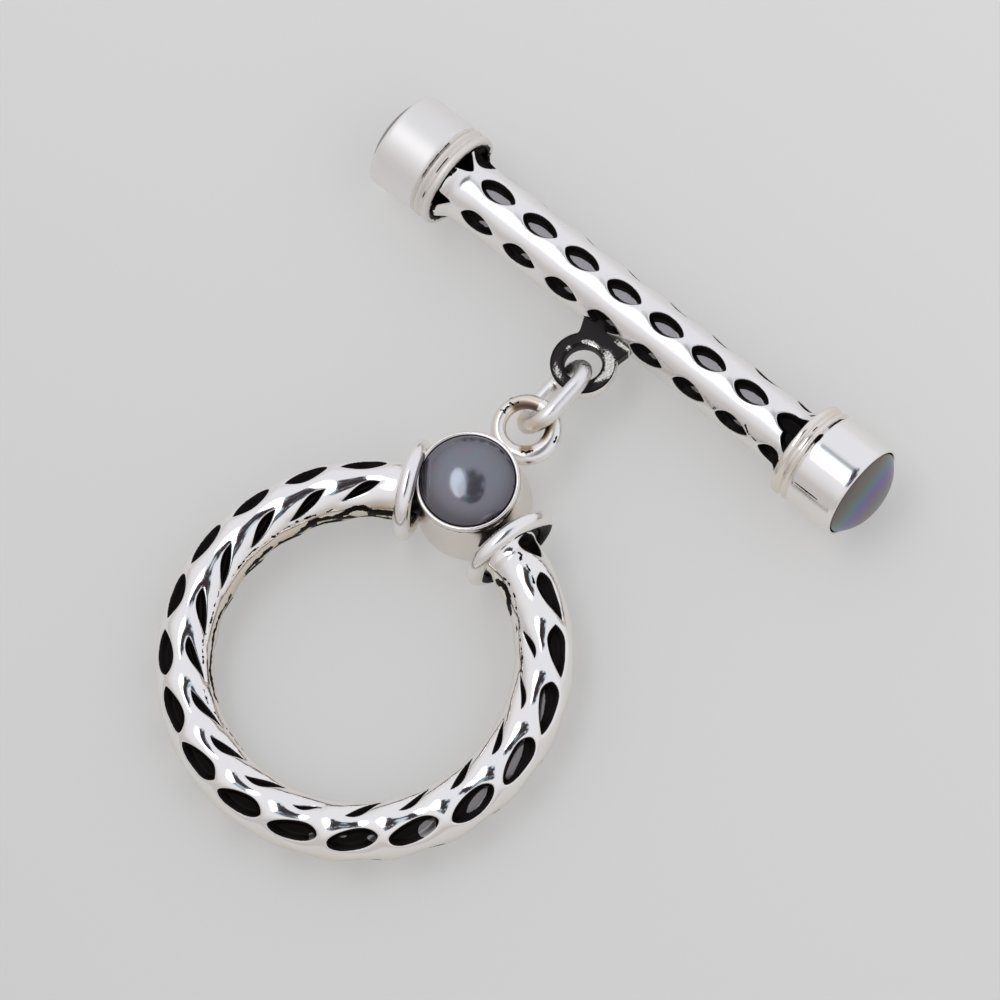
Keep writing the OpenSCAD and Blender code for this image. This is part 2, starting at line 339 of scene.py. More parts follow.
def edge_distance(x, y, outline):
    """Distance in mm from each place to an outline, negative inside it."""
    shape, tiny = x.shape, 1e-12
    x, y = x.ravel(), y.ravel()
    a = outline
    b = np.roll(outline, -1, 0)
    px, py = x[:, None] - a[:, 0], y[:, None] - a[:, 1]
    ex, ey = (b - a).T
    t = np.clip((px * ex + py * ey) / (ex * ex + ey * ey + tiny), 0, 1)
    near = np.hypot(px - t * ex, py - t * ey).min(1)
    rises = (a[:, 1] > y[:, None]) != (b[:, 1] > y[:, None])
    cross = px < ex * py / np.where(np.abs(ey) < tiny, tiny, ey)
    return np.where((rises & cross).sum(1) % 2 == 1, -near, near).reshape(shape)


def line_distance(x, y, path):
    """Distance in mm from each place to a line drawn along a path of (x, y)."""
    x, y = np.broadcast_arrays(x, y)
    path = np.array(path, float)
    return np.abs(edge_distance(x, y, np.vstack([path, path[::-1]])))


def stroke(x, y, path, half):
    """How much black a line along a path leaves at each place: 0.5 at the given half width in mm, more
    within and less beyond. The finish breaks its edge into crumbs."""
    soft = 0.25
    return np.clip(0.5 + (half - line_distance(x, y, path)) / soft, 0, 1)


def smudge(x, y, path, half):
    """A soft mark along a path, which fades over its half width."""
    return hump(line_distance(x, y, path), 0, half)


def pitted_tube(along, turn, scale, radius, pits, lip, dip):
    """Heights of a tube's surface over its radius, how deep each point is sunk, and how far it is inside
    a pit and inside a pit's bare patch. along and turn are its places, and scale gives the mm in one
    step of along at each turn. A pit is (place, turn, outline, lean, depth, wall, patches). The metal
    dips towards a pit, and a lip of it rolls in at its edge."""
    reach, dip_wide, lip_wide, past_edge = 0.9, 0.34, 0.07, 0.04
    shape = (len(along), len(turn))
    edge = np.full(shape, 1.0)
    bare = np.full(shape, 1.0)
    floor = np.zeros(shape)
    wall = np.full(shape, 0.2)
    for place, at, outline, lean, depth, wide, patches in pits:
        size = np.abs(outline).max() + reach
        rows = np.where(np.abs(along - place) * scale.min() < size)[0]
        off = (turn - at + pi) % (2 * pi) - pi
        columns = np.where(np.abs(off) * radius < size)[0]
        if not len(rows) or not len(columns):
            continue
        u = (along[rows] - place)[:, None] * scale[columns][None, :]
        v = np.broadcast_to(off[columns] * radius, u.shape)
        x = u * cos(lean) + v * sin(lean)
        y = v * cos(lean) - u * sin(lean)
        d = edge_distance(x, y, outline)
        here = np.ix_(rows, columns)
        closer = d < edge[here]
        edge[here] = np.where(closer, d, edge[here])
        flat = (radius - depth) / np.cos(v / radius) - radius
        floor[here] = np.where(closer, flat, floor[here])
        wall[here] = np.where(closer, wide, wall[here])
        for spot in patches:
            bare[here] = np.minimum(bare[here], edge_distance(x, y, spot))
    away = np.maximum(edge, 0)
    rim = -dip * hump(away, 0, dip_wide) - lip * hump(away, 0, lip_wide, 1)
    sink = np.sin(np.clip(-edge / wall, 0, 1) * pi / 2)
    return rim * (1 - sink) + floor * sink, sink, past_edge - edge, 1 - bare


def swell(u, v, size, amount):
    """Slow unevenness that polishing by hand leaves, in mm."""
    total = np.zeros(np.broadcast(u, v).shape)
    for _ in range(9):
        way = rng.uniform(0, 2 * pi)
        k = 2 * pi / (size * rng.uniform(0.7, 1.6))
        total += np.sin(k * (u * cos(way) + v * sin(way)) + rng.uniform(0, 2 * pi))
    return amount * total / 3


# Finishes

# The sockets of a Mix node: its two numbers and what comes out, then its two colours and theirs.
A, B, NUMBER = 2, 3, 0
COLOUR_A, COLOUR_B, COLOUR = 6, 7, 2


def tone(code):
    """A colour code as linear red, green, blue and 1."""
    parts = [int(code[k:k + 2], 16) / 255 for k in (1, 3, 5)]
    return [p / 12.92 if p <= 0.04045 else ((p + 0.055) / 1.055) ** 2.4 for p in parts] + [1.0]


def noise_scale(size):
    """The scale of a noise whose grains are about this many mm across."""
    return 1 / (size * MM)


def add(tree, kind, inputs=None, stops=(), **settings):
    """Adds a node. An input is a number, a colour code, or (node, output) for a link. The stops of a
    colour ramp are (place, colour code)."""
    made = tree.nodes.new("ShaderNode" + kind)
    for key, value in settings.items():
        setattr(made, key, value)
    for key, value in (inputs or {}).items():
        if isinstance(value, tuple) and hasattr(value[0], "outputs"):
            tree.links.new(value[0].outputs[value[1]], made.inputs[key])
        else:
            made.inputs[key].default_value = tone(value) if isinstance(value, str) else value
    if stops:
        ramp = made.color_ramp.elements
        ramp.remove(ramp[1])
        ramp[0].position, ramp[0].color = stops[0][0], tone(stops[0][1])
        for spot, code in stops[1:]:
            ramp.new(spot).color = tone(code)
    return made


def new_finish(name):
    finish = bpy.data.materials.new(name)
    finish.use_nodes = True
    finish.node_tree.nodes.clear()
    return finish, finish.node_tree


def antiqued_silver():
    """Sterling silver, cast, dipped in liver of sulphur and buffed bright again. Buffing leaves a
    mirror with faint hairlines, and the black sulphide stays in every pit and crevice."""
    finish, tree = new_finish("sterling_silver_antiqued")
    place = (add(tree, "TexCoord"), "Object")
    # slow cloudiness of the polish
    cloud = add(tree, "TexNoise", {"Vector": place, "Scale": noise_scale(3.03), "Detail": 2})
    # hairlines of the buff, drawn coarser than the real 0.01 mm so that they show
    hair = add(tree, "TexNoise", {"Vector": place, "Scale": noise_scale(0.1538), "Detail": 3})
    # crumbs at the edges of the sulphide
    crumb = add(tree, "TexNoise", {
        "Vector": place, "Scale": noise_scale(0.303), "Detail": 4, "Roughness": 0.65})
    # painted reflection of the warm floor: the sides that face down are tinted a little yellow, patchy with
    # the cloud
    facing = add(tree, "SeparateXYZ", {0: (add(tree, "NewGeometry"), "Normal")})
    low = add(tree, "MapRange", {"Value": (facing, "Z"), "From Min": 0.7, "From Max": -0.25})
    painted_floor_tint = add(tree, "Math", {0: (low, "Result"), 1: (cloud, "Fac")}, operation="MULTIPLY")
    bright = add(tree, "Mix", {
        "Factor": (painted_floor_tint, "Value"), COLOUR_A: "#FAF8F8", COLOUR_B: "#E6D6B6"}, data_type="RGBA")
    gloss = add(tree, "MapRange", {"Value": (cloud, "Fac"), "To Min": 0.05, "To Max": 0.13})
    # strip and wire that were only brushed are satin, and stay white below
    satin = (add(tree, "Attribute", attribute_name="satin"), "Fac")
    brushed = add(tree, "Mix", {
        "Factor": satin, COLOUR_A: (bright, COLOUR), COLOUR_B: "#F6F5F6"}, data_type="RGBA")
    # tarnish goes from a breath of yellow to brown as it thickens, and dulls the metal
    tarnish = (add(tree, "Attribute", attribute_name="tarnish"), "Fac")
    tint = add(tree, "ValToRGB", {"Fac": tarnish}, stops=(
        (0.0, "#FFFFFF"), (0.25, "#E8DCC8"), (0.6, "#A39180"), (1.0, "#2E2420")))
    silver = add(tree, "Mix", {
        "Factor": 1.0, COLOUR_A: (brushed, COLOUR), COLOUR_B: (tint, "Color")},
        data_type="RGBA", blend_type="MULTIPLY")
    brush = add(tree, "Mix", {"Factor": satin, A: (gloss, "Result"), B: 0.5})
    sheen = add(tree, "Math", {0: tarnish, 1: 0.3, 2: (brush, NUMBER)}, operation="MULTIPLY_ADD")

    # where the sulphide lies: in the pits, and in the crevices with a crumbly edge
    pit = add(tree, "Attribute", attribute_name="pit_in")
    pit_mask = add(tree, "MapRange", {"Value": (pit, "Fac"), "From Min": 0.0, "From Max": 0.03})
    crevice = add(tree, "Attribute", attribute_name="crevice")
    broken = add(tree, "Math", {0: (crumb, "Fac"), 1: 1.5, 2: (crevice, "Fac")}, operation="MULTIPLY_ADD")
    crevice_mask = add(tree, "MapRange", {"Value": (broken, "Value"), "From Min": 1.23, "From Max": 1.27})
    masks = {0: (pit_mask, "Result"), 1: (crevice_mask, "Result")}
    black = (add(tree, "Math", masks, operation="MAXIMUM"), "Value")

    # bare patches on the floors of some pits, satin from the casting
    bare = add(tree, "Attribute", attribute_name="bare_in")
    bare_edge = add(tree, "Math", {0: (crumb, "Fac"), 1: 0.16, 2: (bare, "Fac")}, operation="MULTIPLY_ADD")
    bare_mask = add(tree, "MapRange", {"Value": (bare_edge, "Value"), "From Min": 1.08, "From Max": 1.11})
    floor = (bare_mask, "Result")
    # painted shade: the ring's bare patches, deep in narrower pits, are painted darker than the bar's
    unshaded_share = add(tree, "Attribute", attribute_name="rubbed_pale")
    worn = add(tree, "Mix", {
        "Factor": (unshaded_share, "Fac"), COLOUR_A: "#8C888A", COLOUR_B: "#ACA9AB"}, data_type="RGBA")
    sulphide = add(tree, "Mix", {
        "Factor": floor, COLOUR_A: "#0D0807", COLOUR_B: (worn, COLOUR)}, data_type="RGBA")
    colour = add(tree, "Mix", {
        "Factor": black, COLOUR_A: (silver, COLOUR), COLOUR_B: (sulphide, COLOUR)}, data_type="RGBA")
    metal = add(tree, "Mix", {"Factor": black, A: 1.0, B: floor})
    rough = add(tree, "Mix", {"Factor": black, A: (sheen, "Value"), B: 0.4})
    shine = add(tree, "Mix", {"Factor": black, A: 0.5, B: 0.08})
    bump = add(tree, "Bump", {"Height": (hair, "Fac"), "Strength": 0.02, "Distance": 0.02 * MM})
    skin = add(tree, "BsdfPrincipled", {
        "Base Color": (colour, COLOUR), "Metallic": (metal, NUMBER), "Roughness": (rough, NUMBER),
        "Specular IOR Level": (shine, NUMBER), "Normal": (bump, "Normal")})
    add(tree, "OutputMaterial", {"Surface": (skin, "BSDF")})
    return finish


def worn_patina():
    """The same silver where the sulphide was left on: a matt black-brown coat, rubbed through to
    bright flecks, with its upright edges polished."""
    finish, tree = new_finish("silver_sulphide_worn")
    place = (add(tree, "TexCoord"), "Object")
    fleck = add(tree, "TexNoise", {
        "Vector": place, "Scale": noise_scale(0.0952), "Detail": 5, "Roughness": 0.8})
    grain = add(tree, "TexNoise", {"Vector": place, "Scale": noise_scale(0.125), "Detail": 3})
    rub = add(tree, "Attribute", attribute_name="rubbed")
    through = add(tree, "Math", {0: (rub, "Fac"), 1: (fleck, "Fac")}, operation="ADD")
    rubbed = add(tree, "MapRange", {"Value": (through, "Value"), "From Min": 1.0, "From Max": 1.04})
    bright = (rubbed, "Result")
    coat = add(tree, "Mix", {
        "Factor": (grain, "Fac"), COLOUR_A: "#0C0809", COLOUR_B: "#20181B"}, data_type="RGBA")
    colour = add(tree, "Mix", {
        "Factor": bright, COLOUR_A: (coat, COLOUR), COLOUR_B: "#F6F2EC"}, data_type="RGBA")
    rough = add(tree, "MapRange", {"Value": bright, "To Min": 0.5, "To Max": 0.16})
    bump = add(tree, "Bump", {"Height": (grain, "Fac"), "Strength": 0.3, "Distance": 0.03 * MM})
    skin = add(tree, "BsdfPrincipled", {
        "Base Color": (colour, COLOUR), "Metallic": bright, "Roughness": (rough, "Result"),
        "Specular IOR Level": 0.3, "Normal": (bump, "Normal")})
    add(tree, "OutputMaterial", {"Surface": (skin, "BSDF")})
    return finish


def grey_nacre():
    """A dyed freshwater half pearl. Its layers of nacre mirror the room softly, over a slate-grey body with
    slow clouds of blue and violet, and painted shade darkens it towards its edge."""
    finish, tree = new_finish("nacre_slate_grey")
    place = (add(tree, "TexCoord"), "Object")
    cloud = add(tree, "TexNoise", {
        "Vector": place, "Scale": noise_scale(1.923), "Detail": 3, "Distortion": 0.8})
    hue = add(tree, "ValToRGB", {"Fac": (cloud, "Fac")}, stops=(
        (0.32, "#8A8590"), (0.45, "#878690"), (0.56, "#848A93"), (0.68, "#8E899F")))
    # painted shade: the body darkens towards the pearl's edge
    rim = add(tree, "Attribute", attribute_name="to_rim")
    body = add(tree, "Mix", {
        "Factor": (rim, "Fac"), COLOUR_A: (hue, "Color"), COLOUR_B: "#68656F"}, data_type="RGBA")
    # the fine orange-peel of the nacre frays the edges of what it mirrors
    peel = add(tree, "TexNoise", {"Vector": place, "Scale": noise_scale(0.1923), "Detail": 3})
    bump = add(tree, "Bump", {"Height": (peel, "Fac"), "Strength": 0.12, "Distance": 0.02 * MM})
    skin = add(tree, "BsdfPrincipled", {
        "Base Color": (body, COLOUR), "Metallic": 0.75, "Roughness": 0.14, "Normal": (bump, "Normal")})
    add(tree, "OutputMaterial", {"Surface": (skin, "BSDF")})
    return finish


def iridescent_nacre():
    """A darker half pearl, brown-grey, whose nacre breaks the light into a slanting band of green,
    blue and violet."""
    finish, tree = new_finish("nacre_dark_iridescent")
    place = (add(tree, "TexCoord"), "Object")
    cloud = add(tree, "TexNoise", {"Vector": place, "Scale": noise_scale(3.333), "Detail": 2})
    slant = add(tree, "Attribute", attribute_name="slant")
    uneven = add(tree, "Math", {0: (cloud, "Fac"), 1: 0.3, 2: (slant, "Fac")}, operation="MULTIPLY_ADD")
    spread = add(tree, "MapRange", {"Value": (uneven, "Value"), "From Min": -0.5, "From Max": 1.5})
    hue = add(tree, "ValToRGB", {"Fac": (spread, "Result")}, stops=(
        (0.02, "#6B625E"), (0.2, "#736B67"), (0.33, "#657D74"), (0.42, "#647694"), (0.5, "#6F6796"),
        (0.6, "#756288"), (0.74, "#6C656A")))
    skin = add(tree, "BsdfPrincipled", {
        "Base Color": (hue, "Color"), "Roughness": 0.4, "IOR": 1.55, "Coat Weight": 0.3,
        "Coat Roughness": 0.2})
    add(tree, "OutputMaterial", {"Surface": (skin, "BSDF")})
    return finish


def pale_paper():
    """Thin matt paper, pale grey. It glows a little: painted light that lifts the shade round the clasp."""
    finish, tree = new_finish("paper_sweep_pale_grey")
    place = (add(tree, "TexCoord"), "Object")
    mottle = add(tree, "TexNoise", {"Vector": place, "Scale": noise_scale(71.4), "Detail": 2})
    # painted light: the sheet is painted a little lighter towards its far side
    apart = add(tree, "SeparateXYZ", {0: place})
    far = add(tree, "MapRange", {
        "Value": (apart, "Y"), "From Min": -45 * MM, "From Max": 45 * MM, "To Max": 0.8})
    share = add(tree, "Math", {0: (mottle, "Fac"), 1: 0.2, 2: (far, "Result")}, operation="MULTIPLY_ADD")
    colour = add(tree, "Mix", {
        "Factor": (share, "Value"), COLOUR_A: "#9C9B9A", COLOUR_B: "#BBBAB8"}, data_type="RGBA")
    # painted light: the paper's own glow
    skin = add(tree, "BsdfPrincipled", {
        "Base Color": (colour, COLOUR), "Roughness": 0.85, "Specular IOR Level": 0.2,
        "Emission Color": "#FFFFFF", "Emission Strength": 0.315})
    add(tree, "OutputMaterial", {"Surface": (skin, "BSDF")})
    return finish


silver = antiqued_silver()
patina = worn_patina()
nacre = grey_nacre()
dark_nacre = iridescent_nacre()


# The ring

def bent(a, phi, r):
    """Points of a tube bent to the ring: a goes round the ring, and phi round the tube from its top
    outwards."""
    out = RING_R + r * np.sin(phi)
    return np.stack([out * np.cos(a), out * np.sin(a), r * np.cos(phi)], -1)


def ring_tube():
    along = np.linspace(OPENING - 0.02, 2 * pi - OPENING + 0.02, 740)
    # the points lie closer together on top, where the pits show
    t = np.linspace(-pi, pi, 134, endpoint=False)
    turn = t - 0.3 * np.sin(t)
    pits = []
    for rows, depth, wall in ((OUTER_PITS, 0.5, 0.3), (INNER_PITS, 0.4, 0.24)):
        for place, at, *shape, lean in rows:
            patches = [patch(*spot) for pit, *spot in BARE_PATCHES if pit == place]
            pits.append((radians(place), radians(at), leaf(*shape), radians(lean), depth, wall, patches))
    # the pits below, which lie in rows as even as they come
    side = leaf(2.3, 1.15, 0.6, 0.9)
    for k in range(19):
        for at in (110, 182, 254):
            pits.append((radians(14.3 + 18 * k), radians(at), side, radians(-13), 0.45, 0.3, ()))
    scale = RING_R + RING_TUBE_R * np.sin(turn)
    height, sink, pit_in, bare_in = pitted_tube(along, turn, scale, RING_TUBE_R, pits, lip=0.03, dip=0.04)
    a, phi = along[:, None], turn[None, :]
    round_ring, round_tube = np.degrees(a), np.degrees(phi)
    height += swell(a * RING_R, phi * RING_TUBE_R, 3.6, 0.012) * (1 - sink)
    # the metal stands up a little between the pits, most where they were cut deepest
    crest = (0.03 + 0.055 * rise(round_ring, 130, 10)) * hump(round_tube, 4, 52, 4)
    height += crest * np.cos(np.radians(20 * (round_ring - 5.8))) * (1 - sink)
    # it flares where it meets the collars
    to_end = np.minimum(a - OPENING, 2 * pi - OPENING - a) * RING_R
    height += 0.22 * hump(to_end.clip(0), 0, 0.35) * (1 - sink)
    points, faces = closed_tube(bent(a, phi, RING_TUBE_R + height))
    crevice = hump((to_end - 0.1).clip(0), 0, 0.12, 1) * (0.62 - 0.3 * hump(round_tube, 0, 28, 4))
    # the inner side, which the buff hardly reached, is a little yellow, most near the left collar
    inner = rise(round_tube, -150, 5) * (1 - rise(round_tube, -60, 5))
    yellow = inner * (0.1 + 0.12 * (1 - rise(round_ring, 110, 12)))
    # and a brown stain by the left collar
    yellow = np.maximum(yellow, 0.33 * hump(round_ring, 27, 6) * hump(round_tube, -57, 13))
    for half, path in RING_STROKES:
        path = np.radians(path)
        wide = RING_R + RING_TUBE_R * sin(path[:, 1].mean())
        mark = stroke(a * wide, phi * RING_TUBE_R, path * (wide, RING_TUBE_R), half)
        crevice = np.maximum(crevice, mark)
    piece("pitted_ring_tube", moved(ring_frame, points), faces, silver, "silver", "toggle_ring",
          pit_in=pit_in, bare_in=bare_in, crevice=crevice, tarnish=yellow)


def ring_collars():
    """A collar is a bead of wire on a thin flange, a little oval, and the lower half of its side
    towards the tube kept its black."""
    bead = arc((COLLAR_MID_R, 0), COLLAR_WIRE_R, -150, 150, 34)
    foot, half = bead[-1]
    hole, lean = 1.2, 0.2
    profile = bead + stretch((foot, half), (hole, lean), 5) + stretch((hole, lean), (hole, -half), 2)
    profile += stretch((hole, -half), (foot, -half), 5)
    for side, name in ((1, "left_collar"), (-1, "right_collar")):
        a = side * COLLAR_AT
        out = np.array([cos(a), sin(a), 0.0])
        ahead = np.array([-sin(a), cos(a), 0.0]) * side
        across = np.cross(ahead, [0, 0, 1.0])
        m = ring_frame @ frame_of((0, 0, 1), -across, ahead, RING_R * out)
        points, faces = turned(profile, 120)
        up, outward = points[:, 0].copy(), -points[:, 1] * side
        # how far round the wire the polish reaches, in degrees: furthest on top and on the inner side
        around = np.degrees(np.arctan2(points[:, 2], np.hypot(up, outward) - COLLAR_MID_R))
        free = 80 * np.clip(up / COLLAR_MID_R + 0.1, 0, 1) + 45 * np.clip(-outward / COLLAR_MID_R, 0, 1)
        mark = np.clip((around - 50 - free) / 10 + 0.5, 0, 1)
        mark = np.where(np.hypot(up, outward) < foot + 0.02, 1.0, mark)
        points[:, 0] = 0.985 * up + 0.03
        points[:, 1] = -(1.1 * outward + 0.2) * side
        piece(name, moved(m, points), faces, silver, "silver", "toggle_ring", crevice=mark, satin=0.25)


def ring_necks():
    """The short necks that join the collars to the cup, lumpy and black with solder."""
    phi = np.linspace(0, 2 * pi, 48, endpoint=False)[None, :]
    for side, name in ((1, "left_neck"), (-1, "right_neck")):
        a = np.linspace(0.03, OPENING, 24)[:, None] * side
        lumps = 0.09 * np.sin(5 * phi + 40 * a) * np.sin(23 * a + 2 * phi)
        points, faces = closed_tube(bent(a, phi, NECK_R + lumps) - (0, 0, NECK_DROP))
        piece(name, moved(ring_frame, points), faces, patina, "silver", "toggle_ring", rubbed=0.22)


def pearl_cup():
    """The cup is a strip of silver bent round the pearl and burnished over it, on a wider foot."""
    steps = 168
    lip, base, floor, core, corner, groove = CUP_LIP_H, -CUP_BASE_H, 0.35, 0.4, 0.1, 1.225
    wall = [(CUP_FOOT_R, base + corner), (3.04, base + 0.3), (2.985, base + 0.55), (2.93, -1.3),
            (2.88, -0.6), (2.83, 0.1), (2.79, 0.7), (2.765, 1.1)]
    profile = stretch((core, base), (CUP_FOOT_R - corner, base), 8)
    profile += arc((CUP_FOOT_R - corner, base + corner), corner, -90, 0, 5)[:-1]
    for start, end in zip(wall, wall[1:]):
        profile += stretch(start, end, 4)
    profile += [(2.762, 1.2), (2.735, groove), (2.74, 1.26)]
    profile += arc((CUP_LIP_R - 0.125, lip - 0.115), 0.125, 0, 180, 12)
    profile += stretch((SEAT_R, lip - 0.2), (SEAT_R, floor), 6) + stretch((SEAT_R, floor), (core, floor), 8)
    profile += [(core, floor), (core, -1)]
    points, faces = turned(profile, steps)
    # black round the pearl's edge, and less of it in the groove under the lip
    r, z = np.array(profile).T
    mark = np.where((r < SEAT_R + 0.02) & (z > 0), 1.0, 0.0)
    mark[np.abs(z - groove) < 0.01] = 0.7
    m = ring_frame @ shifted(CUP_REACH, CUP_STEP, 0)
    piece("pearl_cup", moved(m, points), faces, silver, "silver", "toggle_ring",
          crevice=np.tile(mark, steps), satin=0.35, tarnish=0.06)


def half_pearl(name, m, dome, finish, slot, node):
    """A half pearl is a little flatter on top than a ball. Its nacre lies in slanting layers, so a
    band of colour runs across its dome."""
    out = np.sin(np.linspace(0.006, pi / 2, 40))
    rows = [(PEARL_R * q, dome * (1 - 0.56 * q ** 2 - 0.44 * q ** 4)) for q in out]
    rows += stretch((PEARL_R, -0.08), (PEARL_R, -PEARL_SEAT), 5)
    rows += stretch((PEARL_R, -PEARL_SEAT), (0.02, -PEARL_SEAT), 6)
    r, z = np.hsplit(np.array(rows), 2)
    turn = np.linspace(0, 2 * pi, 120, endpoint=False)[None, :]
    points, faces = closed_tube(np.stack([r * np.cos(turn), r * np.sin(turn), z + 0 * turn], -1))
    slant = 0.958 * points[:, 2] - 0.279 * points[:, 0] - 0.072 * points[:, 1]
    # painted shade for the grey pearl, strongest at its edge
    to_rim = (np.hypot(points[:, 0], points[:, 1]) / PEARL_R) ** 4
    piece(name, moved(m, points), faces, finish, slot, node, slant=slant, to_rim=to_rim)


def wire_loop():
    """The loop is thicker where solder ran along it from the cup, and only outwards."""
    steps, around = 300, 64
    turn = np.linspace(0, 2 * pi, steps, endpoint=False)[:, None]
    t = np.linspace(0, 2 * pi, around, endpoint=False)[None, :]
    more = 0.3 * hump(np.degrees(turn), 232, 75)
    reach = LOOP_MID_R + more / 2 + (LOOP_WIRE_R + more / 2) * np.cos(t)
    high = (LOOP_WIRE_R + more / 4) * np.sin(t)
    points = np.stack([reach * np.cos(turn), reach * np.sin(turn), high], -1)
    x, y = turn * LOOP_MID_R, t * LOOP_WIRE_R
    black = brown = np.zeros(reach.shape)
    for half, path in LOOP_STROKES:
        path = np.radians(path) * (LOOP_MID_R, LOOP_WIRE_R)
        black = np.maximum(black, stroke(x, y, path, half))
    for half, much, path in LOOP_TARNISH:
        path = np.radians(path) * (LOOP_MID_R, LOOP_WIRE_R)
        brown = np.maximum(brown, much * smudge(x, y, path, half))
    m = ring_frame @ shifted(LOOP_REACH, LOOP_STEP, 0)
    piece("soldered_loop", moved(m, points), grid_faces(steps, around), silver, "silver", "toggle_ring",
          crevice=black, tarnish=brown, satin=0.4)


# The bar

def bar_tube():
    along = np.linspace(-BAR_TUBE_HALF - 0.4, BAR_TUBE_HALF + 0.4, 440)
    turn = np.linspace(-pi, pi, 200, endpoint=False)
    top = leaf(2.16, 1.17, 0.76, 0.66, belly=-0.12)
    front = leaf(2.15, 1.04, 0.93, 0.8, belly=-0.22)
    top_patch = patch(1.75, 0.7, 0.1, 0.05, -3)
    front_patch = patch(0.85, 0.38, 0.28, 0.06, -20)
    pits = []
    for k in range(-5, 5):
        x = BAR_FIRST + BAR_PITCH * k
        twist = BAR_TWIST * x / (2 * BAR_HALF)
        # the pits next to the caps kept all their black
        bare = abs(x) < 10.5
        rows = [(-7.9, top, -3, top_patch), (61.3, front, -2.5, front_patch)]
        rows += [(row, top, -3, None) for row in (118, 174, 230, 286)]
        for row, outline, lean, spot in rows:
            patches = [spot] if bare and spot is not None else []
            pits.append((x, radians(row + twist), outline, radians(lean), 0.45, 0.2, patches))
    # by the caps the black ran together
    pits.append((-11.3, radians(-52), leaf(1.5, 1.3, 0.8, 0.6), radians(-25), 0.3, 0.15, ()))
    pits.append((11.5, radians(23), leaf(1.25, 0.85, 0.8, 0.6), radians(38), 0.3, 0.15, ()))
    scale = np.ones(len(turn))
    height, sink, pit_in, bare_in = pitted_tube(along, turn, scale, BAR_R, pits, lip=0.02, dip=0.012)
    x, turn = along[:, None], turn[None, :]
    height += swell(x, turn * BAR_R, 4.0, 0.01) * (1 - sink)
    # the tube flares where it meets the caps
    to_cap = BAR_TUBE_HALF - np.abs(x)
    height += 0.5 * hump(to_cap.clip(0), 0, 0.45) * (1 - sink)
    r = BAR_R + height
    points, faces = closed_tube(np.stack([x + 0 * r, -r * np.sin(turn), r * np.cos(turn)], -1))
    # black by the caps, and where the eye's web meets the tube
    crevice = np.clip(1.1 - to_cap / 0.07, 0, 1)
    crevice = np.maximum(crevice, hump(x, -0.75, 1.0, 4) * hump(np.degrees(turn), 88, 19, 4))
    for half, path in BAR_STROKES:
        path = np.array(path) * (1, radians(1) * BAR_R)
        crevice = np.maximum(crevice, stroke(x, turn * BAR_R, path, half))
    # the bar's bare patches are left paler, without the painted shade of the ring's
    piece("pitted_bar_tube", moved(bar_frame, points), faces, silver, "silver", "toggle_bar",
          pit_in=pit_in, bare_in=bare_in, crevice=crevice, rubbed_pale=1.0, satin=0.38)


def rim_frame(side):
    """The frame of a cap's rim, with Z out of the bar's end."""
    return bar_frame @ frame_of((0, 0, 1), (0, -side, 0), (side, 0, 0), (side * BAR_HALF, 0, 0))


def end_cap(name, side):
    """A cap is a strip round the pearl, with two low ridges where the tube goes in. Its rim is
    burnished over the pearl's edge, so it bends inwards in its last third of a millimetre."""
    steps = 240
    rim_in, bevel, corner = 2.54, 0.4, radians(20)
    back, hole, floor = -CAP_LEN, 1.4, -1.25
    low = back + 4 * RIDGE_R
    valley = low - 2 * RIDGE_R
    profile = [(rim_in, -0.16), (rim_in, -0.1)]
    profile += arc((CAP_R - 1 + cos(corner) - 0.07, sin(corner) - bevel - 0.02), 0.07, 170, 25, 8)
    profile += arc((CAP_R - 1, -bevel), 1.0, 19, 0, 9)
    profile += stretch((CAP_R, -bevel - 0.1), (CAP_R - 0.012, low + 0.2), 14)
    profile += [(CAP_R - 0.014, low + 0.16), (CAP_R - 0.03, low + 0.1), (CAP_R - 0.07, low + 0.05)]
    ridges = np.linspace(low, back + RIDGE_R, 34)
    profile += [(CAP_R - 0.1 - 0.09 * cos(pi * (z - low) / RIDGE_R), z) for z in ridges]
    profile += arc((CAP_R - 0.17, back + 0.16), 0.16, 0, -90, 7)
    profile += stretch((2.3, back), (2.2, back + 0.1), 2)
    profile += stretch((2.2, back + 0.1), (hole, back + 0.12), 6) + [(hole, back + 0.12), (hole, -1.4)]
    profile += stretch((hole, floor), (SEAT_R, floor), 4) + stretch((SEAT_R, floor), (SEAT_R, -0.15), 5)
    points, faces = turned(profile, steps)
    r, z = np.array(profile).T
    turn = np.degrees(np.linspace(0, 2 * pi, steps, endpoint=False))
    turn = ((turn * side + 180) % 360 - 180)[:, None]
    # where black stays by the ridges, and one thin dark line along the near cap's body that is a painted
    # reflection: the middle and half width of each mark as turns from the top towards the ring, its height,
    # and half its thickness
    marks = {
        # the near cap's last mark is the painted reflection, a thin dark line along its body
        1: ((-41, 20, low, 0.09), (-3, 8, low, 0.13), (-10, 5, valley, 0.03), (54.5, 0.9, low + 1.05, 1.0)),
        -1: ((14, 30, low, 0.021), (12, 13, valley, 0.04), (57, 7, valley, 0.03)),
    }
    black = np.zeros((steps, len(profile)))
    for middle, wide, level, thick in marks[side]:
        near = 1.5 - ((turn - middle) / wide) ** 2 - ((z - level) / thick) ** 2
        black = np.maximum(black, np.clip(near, 0, 1))
    hidden = ((r < 2.4) & (z < -3)) | (r < rim_in + 0.01)
    black[:, hidden] = 1.0
    # tarnish stays on the ridges, and a breath of it all over the far cap, which was only brushed
    breath, satin = (0.0, 0.12) if side == 1 else (0.03, 1.0)
    tarnish = np.tile(np.where(z < low + 0.1, 0.08, breath), steps)
    piece(name, moved(rim_frame(side), points), faces, silver, "silver", "toggle_bar",
          crevice=black, tarnish=tarnish, satin=satin)


